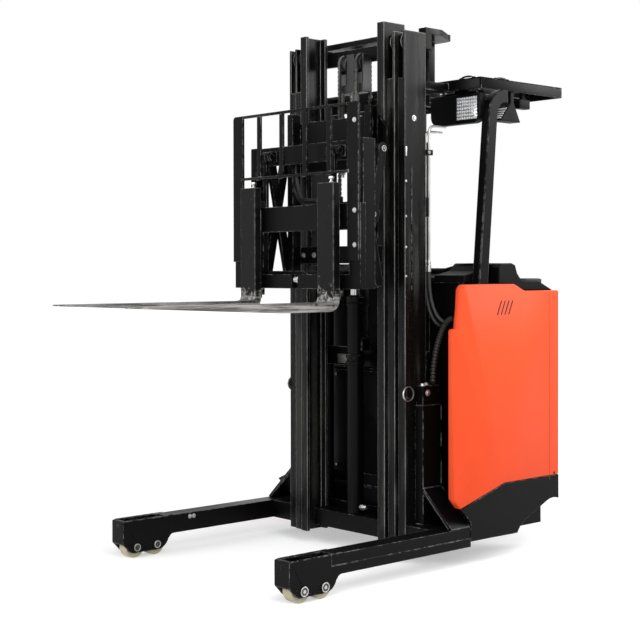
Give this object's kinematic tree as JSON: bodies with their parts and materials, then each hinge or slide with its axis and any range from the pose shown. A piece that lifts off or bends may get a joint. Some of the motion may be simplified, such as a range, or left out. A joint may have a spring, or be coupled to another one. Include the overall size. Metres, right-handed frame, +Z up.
{
  "type": "electric reach truck",
  "caption": "Stand-on electric reach truck: straddle legs, three-stage mast, scissor reach carriage with forks and backrest, orange body and overhead guard.",
  "frame": {"origin": "on the floor, at the middle of the truck's length and width", "axes": "+X forward to the fork tips, +Y to the left, +Z up"},
  "size_m": [2.2, 1.25, 2.44],
  "materials": {
    "black_paint": "satin black powder coat",
    "orange_paint": "satin orange-red paint",
    "black_plastic": "moulded black plastic",
    "bare_steel": "bright oiled steel",
    "grey_paint": "dark grey paint",
    "battery_case": "grey battery trough",
    "floor_mat": "ribbed rubber mat",
    "polyurethane": "pale yellow polyurethane",
    "drive_tyre": "dark polyurethane tread",
    "fork_steel": "black forged steel, greasy heels"
  },
  "bodies": {
    "chassis": {"leg_left": "black_paint", "leg_right": "black_paint", "load_axles": "bare_steel", "base_frame": "black_paint", "skirt_left": "black_paint", "skirt_right": "black_paint", "column_left": "black_paint", "column_right": "black_paint", "outer_rails": "black_paint", "outer_ties": "black_paint", "side_cylinders": "black_paint", "side_panel_left": "orange_paint", "side_panel_right": "orange_paint", "hood": "black_plastic", "bulkhead": "black_paint", "wall_left": "black_plastic", "wall_right": "black_plastic", "cabin_floor": "floor_mat", "battery": "battery_case", "guard_posts": "black_paint", "overhead_guard": "black_paint", "work_light": "black_plastic", "rear_lamp": "black_plastic"},
    "middle_stage": {"mid_rails": "black_paint", "mid_ties": "black_paint"},
    "inner_stage": {"inner_rails": "black_paint", "inner_ties": "black_paint", "free_lift_cylinder": "black_paint", "anchor_chains": "bare_steel"},
    "crosshead": {"crosshead": "black_paint", "crosshead_chains": "bare_steel"},
    "carriage": {"carriage": "black_paint", "carriage_chains": "bare_steel"},
    "scissor_a": {"scissor_a": "black_paint"},
    "scissor_b": {"scissor_b": "black_paint"},
    "reach_frame": {"reach_frame": "black_paint"},
    "tilt_rod": {"tilt_rod": "bare_steel"},
    "fork_carriage": {"fork_carriage": "black_paint", "backrest": "black_paint"},
    "fork_left": {"fork_left": "fork_steel"},
    "fork_right": {"fork_right": "fork_steel"},
    "load_wheel_left_front": {"load_wheel_left_front": "polyurethane"},
    "load_wheel_left_rear": {"load_wheel_left_rear": "polyurethane"},
    "load_wheel_right_front": {"load_wheel_right_front": "polyurethane"},
    "load_wheel_right_rear": {"load_wheel_right_rear": "polyurethane"},
    "drive_unit": {"drive_unit": "grey_paint"},
    "drive_wheel": {"drive_wheel": "drive_tyre"},
    "caster_fork": {"caster_fork": "grey_paint"},
    "caster_wheels": {"caster_wheels": "polyurethane"},
    "steering_wheel": {"steering_wheel": "black_plastic"}
  },
  "joints": [
    {"name": "mid_lift", "type": "slide", "parent": "chassis", "child": "middle_stage", "axis": [0, 0, 1], "range_m": [0, 1.5]},
    {"name": "inner_lift", "type": "slide", "parent": "middle_stage", "child": "inner_stage", "axis": [0, 0, 1], "range_m": [0, 1.5]},
    {"name": "carriage_lift", "type": "slide", "parent": "inner_stage", "child": "carriage", "axis": [0, 0, 1], "range_m": [-1.118, 0.3]},
    {"name": "crosshead_lift", "type": "slide", "parent": "inner_stage", "child": "crosshead", "axis": [0, 0, 1], "range_m": [-0.559, 0.15]},
    {"name": "reach", "type": "hinge", "parent": "carriage", "child": "scissor_a", "pos_m": [-0.19, 0, 1.86], "axis": [0, -1, 0], "range_deg": [0, 63]},
    {"name": "scissor_cross", "type": "hinge", "parent": "scissor_a", "child": "scissor_b", "pos_m": [-0.13, 0, 1.56606], "axis": [0, -1, 0], "range_deg": [-126, 0]},
    {"name": "frame_level", "type": "hinge", "parent": "scissor_b", "child": "reach_frame", "pos_m": [-0.07, 0, 1.86], "axis": [0, -1, 0], "range_deg": [0, 63]},
    {"name": "fork_tilt", "type": "hinge", "parent": "reach_frame", "child": "fork_carriage", "pos_m": [0.008, 0, 1.846], "axis": [0, -1, 0], "range_deg": [-2, 4]},
    {"name": "tilt_rod_slide", "type": "slide", "parent": "reach_frame", "child": "tilt_rod", "axis": [1, 0, 0], "range_m": [-0.02, 0.04]},
    {"name": "fork_left_shift", "type": "slide", "parent": "fork_carriage", "child": "fork_left", "axis": [0, 1, 0], "range_m": [-0.12, 0.04]},
    {"name": "fork_right_shift", "type": "slide", "parent": "fork_carriage", "child": "fork_right", "axis": [0, -1, 0], "range_m": [-0.12, 0.04]},
    {"name": "load_wheel_left_front_spin", "type": "hinge", "parent": "chassis", "child": "load_wheel_left_front", "pos_m": [0.536, 0.576, 0.05], "axis": [0, 1, 0], "continuous": true},
    {"name": "load_wheel_left_rear_spin", "type": "hinge", "parent": "chassis", "child": "load_wheel_left_rear", "pos_m": [0.423, 0.576, 0.05], "axis": [0, 1, 0], "continuous": true},
    {"name": "load_wheel_right_front_spin", "type": "hinge", "parent": "chassis", "child": "load_wheel_right_front", "pos_m": [0.536, -0.576, 0.05], "axis": [0, 1, 0], "continuous": true},
    {"name": "load_wheel_right_rear_spin", "type": "hinge", "parent": "chassis", "child": "load_wheel_right_rear", "pos_m": [0.423, -0.576, 0.05], "axis": [0, 1, 0], "continuous": true},
    {"name": "drive_steer", "type": "hinge", "parent": "chassis", "child": "drive_unit", "pos_m": [-0.612, 0.25, 0.25], "axis": [0, 0, 1], "range_deg": [-90, 90]},
    {"name": "drive_spin", "type": "hinge", "parent": "drive_unit", "child": "drive_wheel", "pos_m": [-0.612, 0.25, 0.115], "axis": [0, 1, 0], "continuous": true},
    {"name": "caster_swivel", "type": "hinge", "parent": "chassis", "child": "caster_fork", "pos_m": [-0.9, -0.37, 0.22], "axis": [0, 0, 1], "continuous": true},
    {"name": "caster_spin", "type": "hinge", "parent": "caster_fork", "child": "caster_wheels", "pos_m": [-0.94, -0.37, 0.075], "axis": [0, 1, 0], "continuous": true},
    {"name": "steering_turn", "type": "hinge", "parent": "chassis", "child": "steering_wheel", "pos_m": [-0.68, 0.18, 1.37], "axis": [0, 0, 1], "range_deg": [-180, 180]}
  ],
  "couplings": [
    {"joint": "inner_lift", "follows": "mid_lift", "ratio": 1},
    {"joint": "crosshead_lift", "follows": "carriage_lift", "ratio": 0.5},
    {"joint": "scissor_cross", "follows": "reach", "ratio": -2},
    {"joint": "frame_level", "follows": "reach", "ratio": 1},
    {"joint": "tilt_rod_slide", "follows": "fork_tilt", "m_per_rad": 0.57},
    {"joint": "steering_turn", "follows": "drive_steer", "ratio": 2}
  ]
}
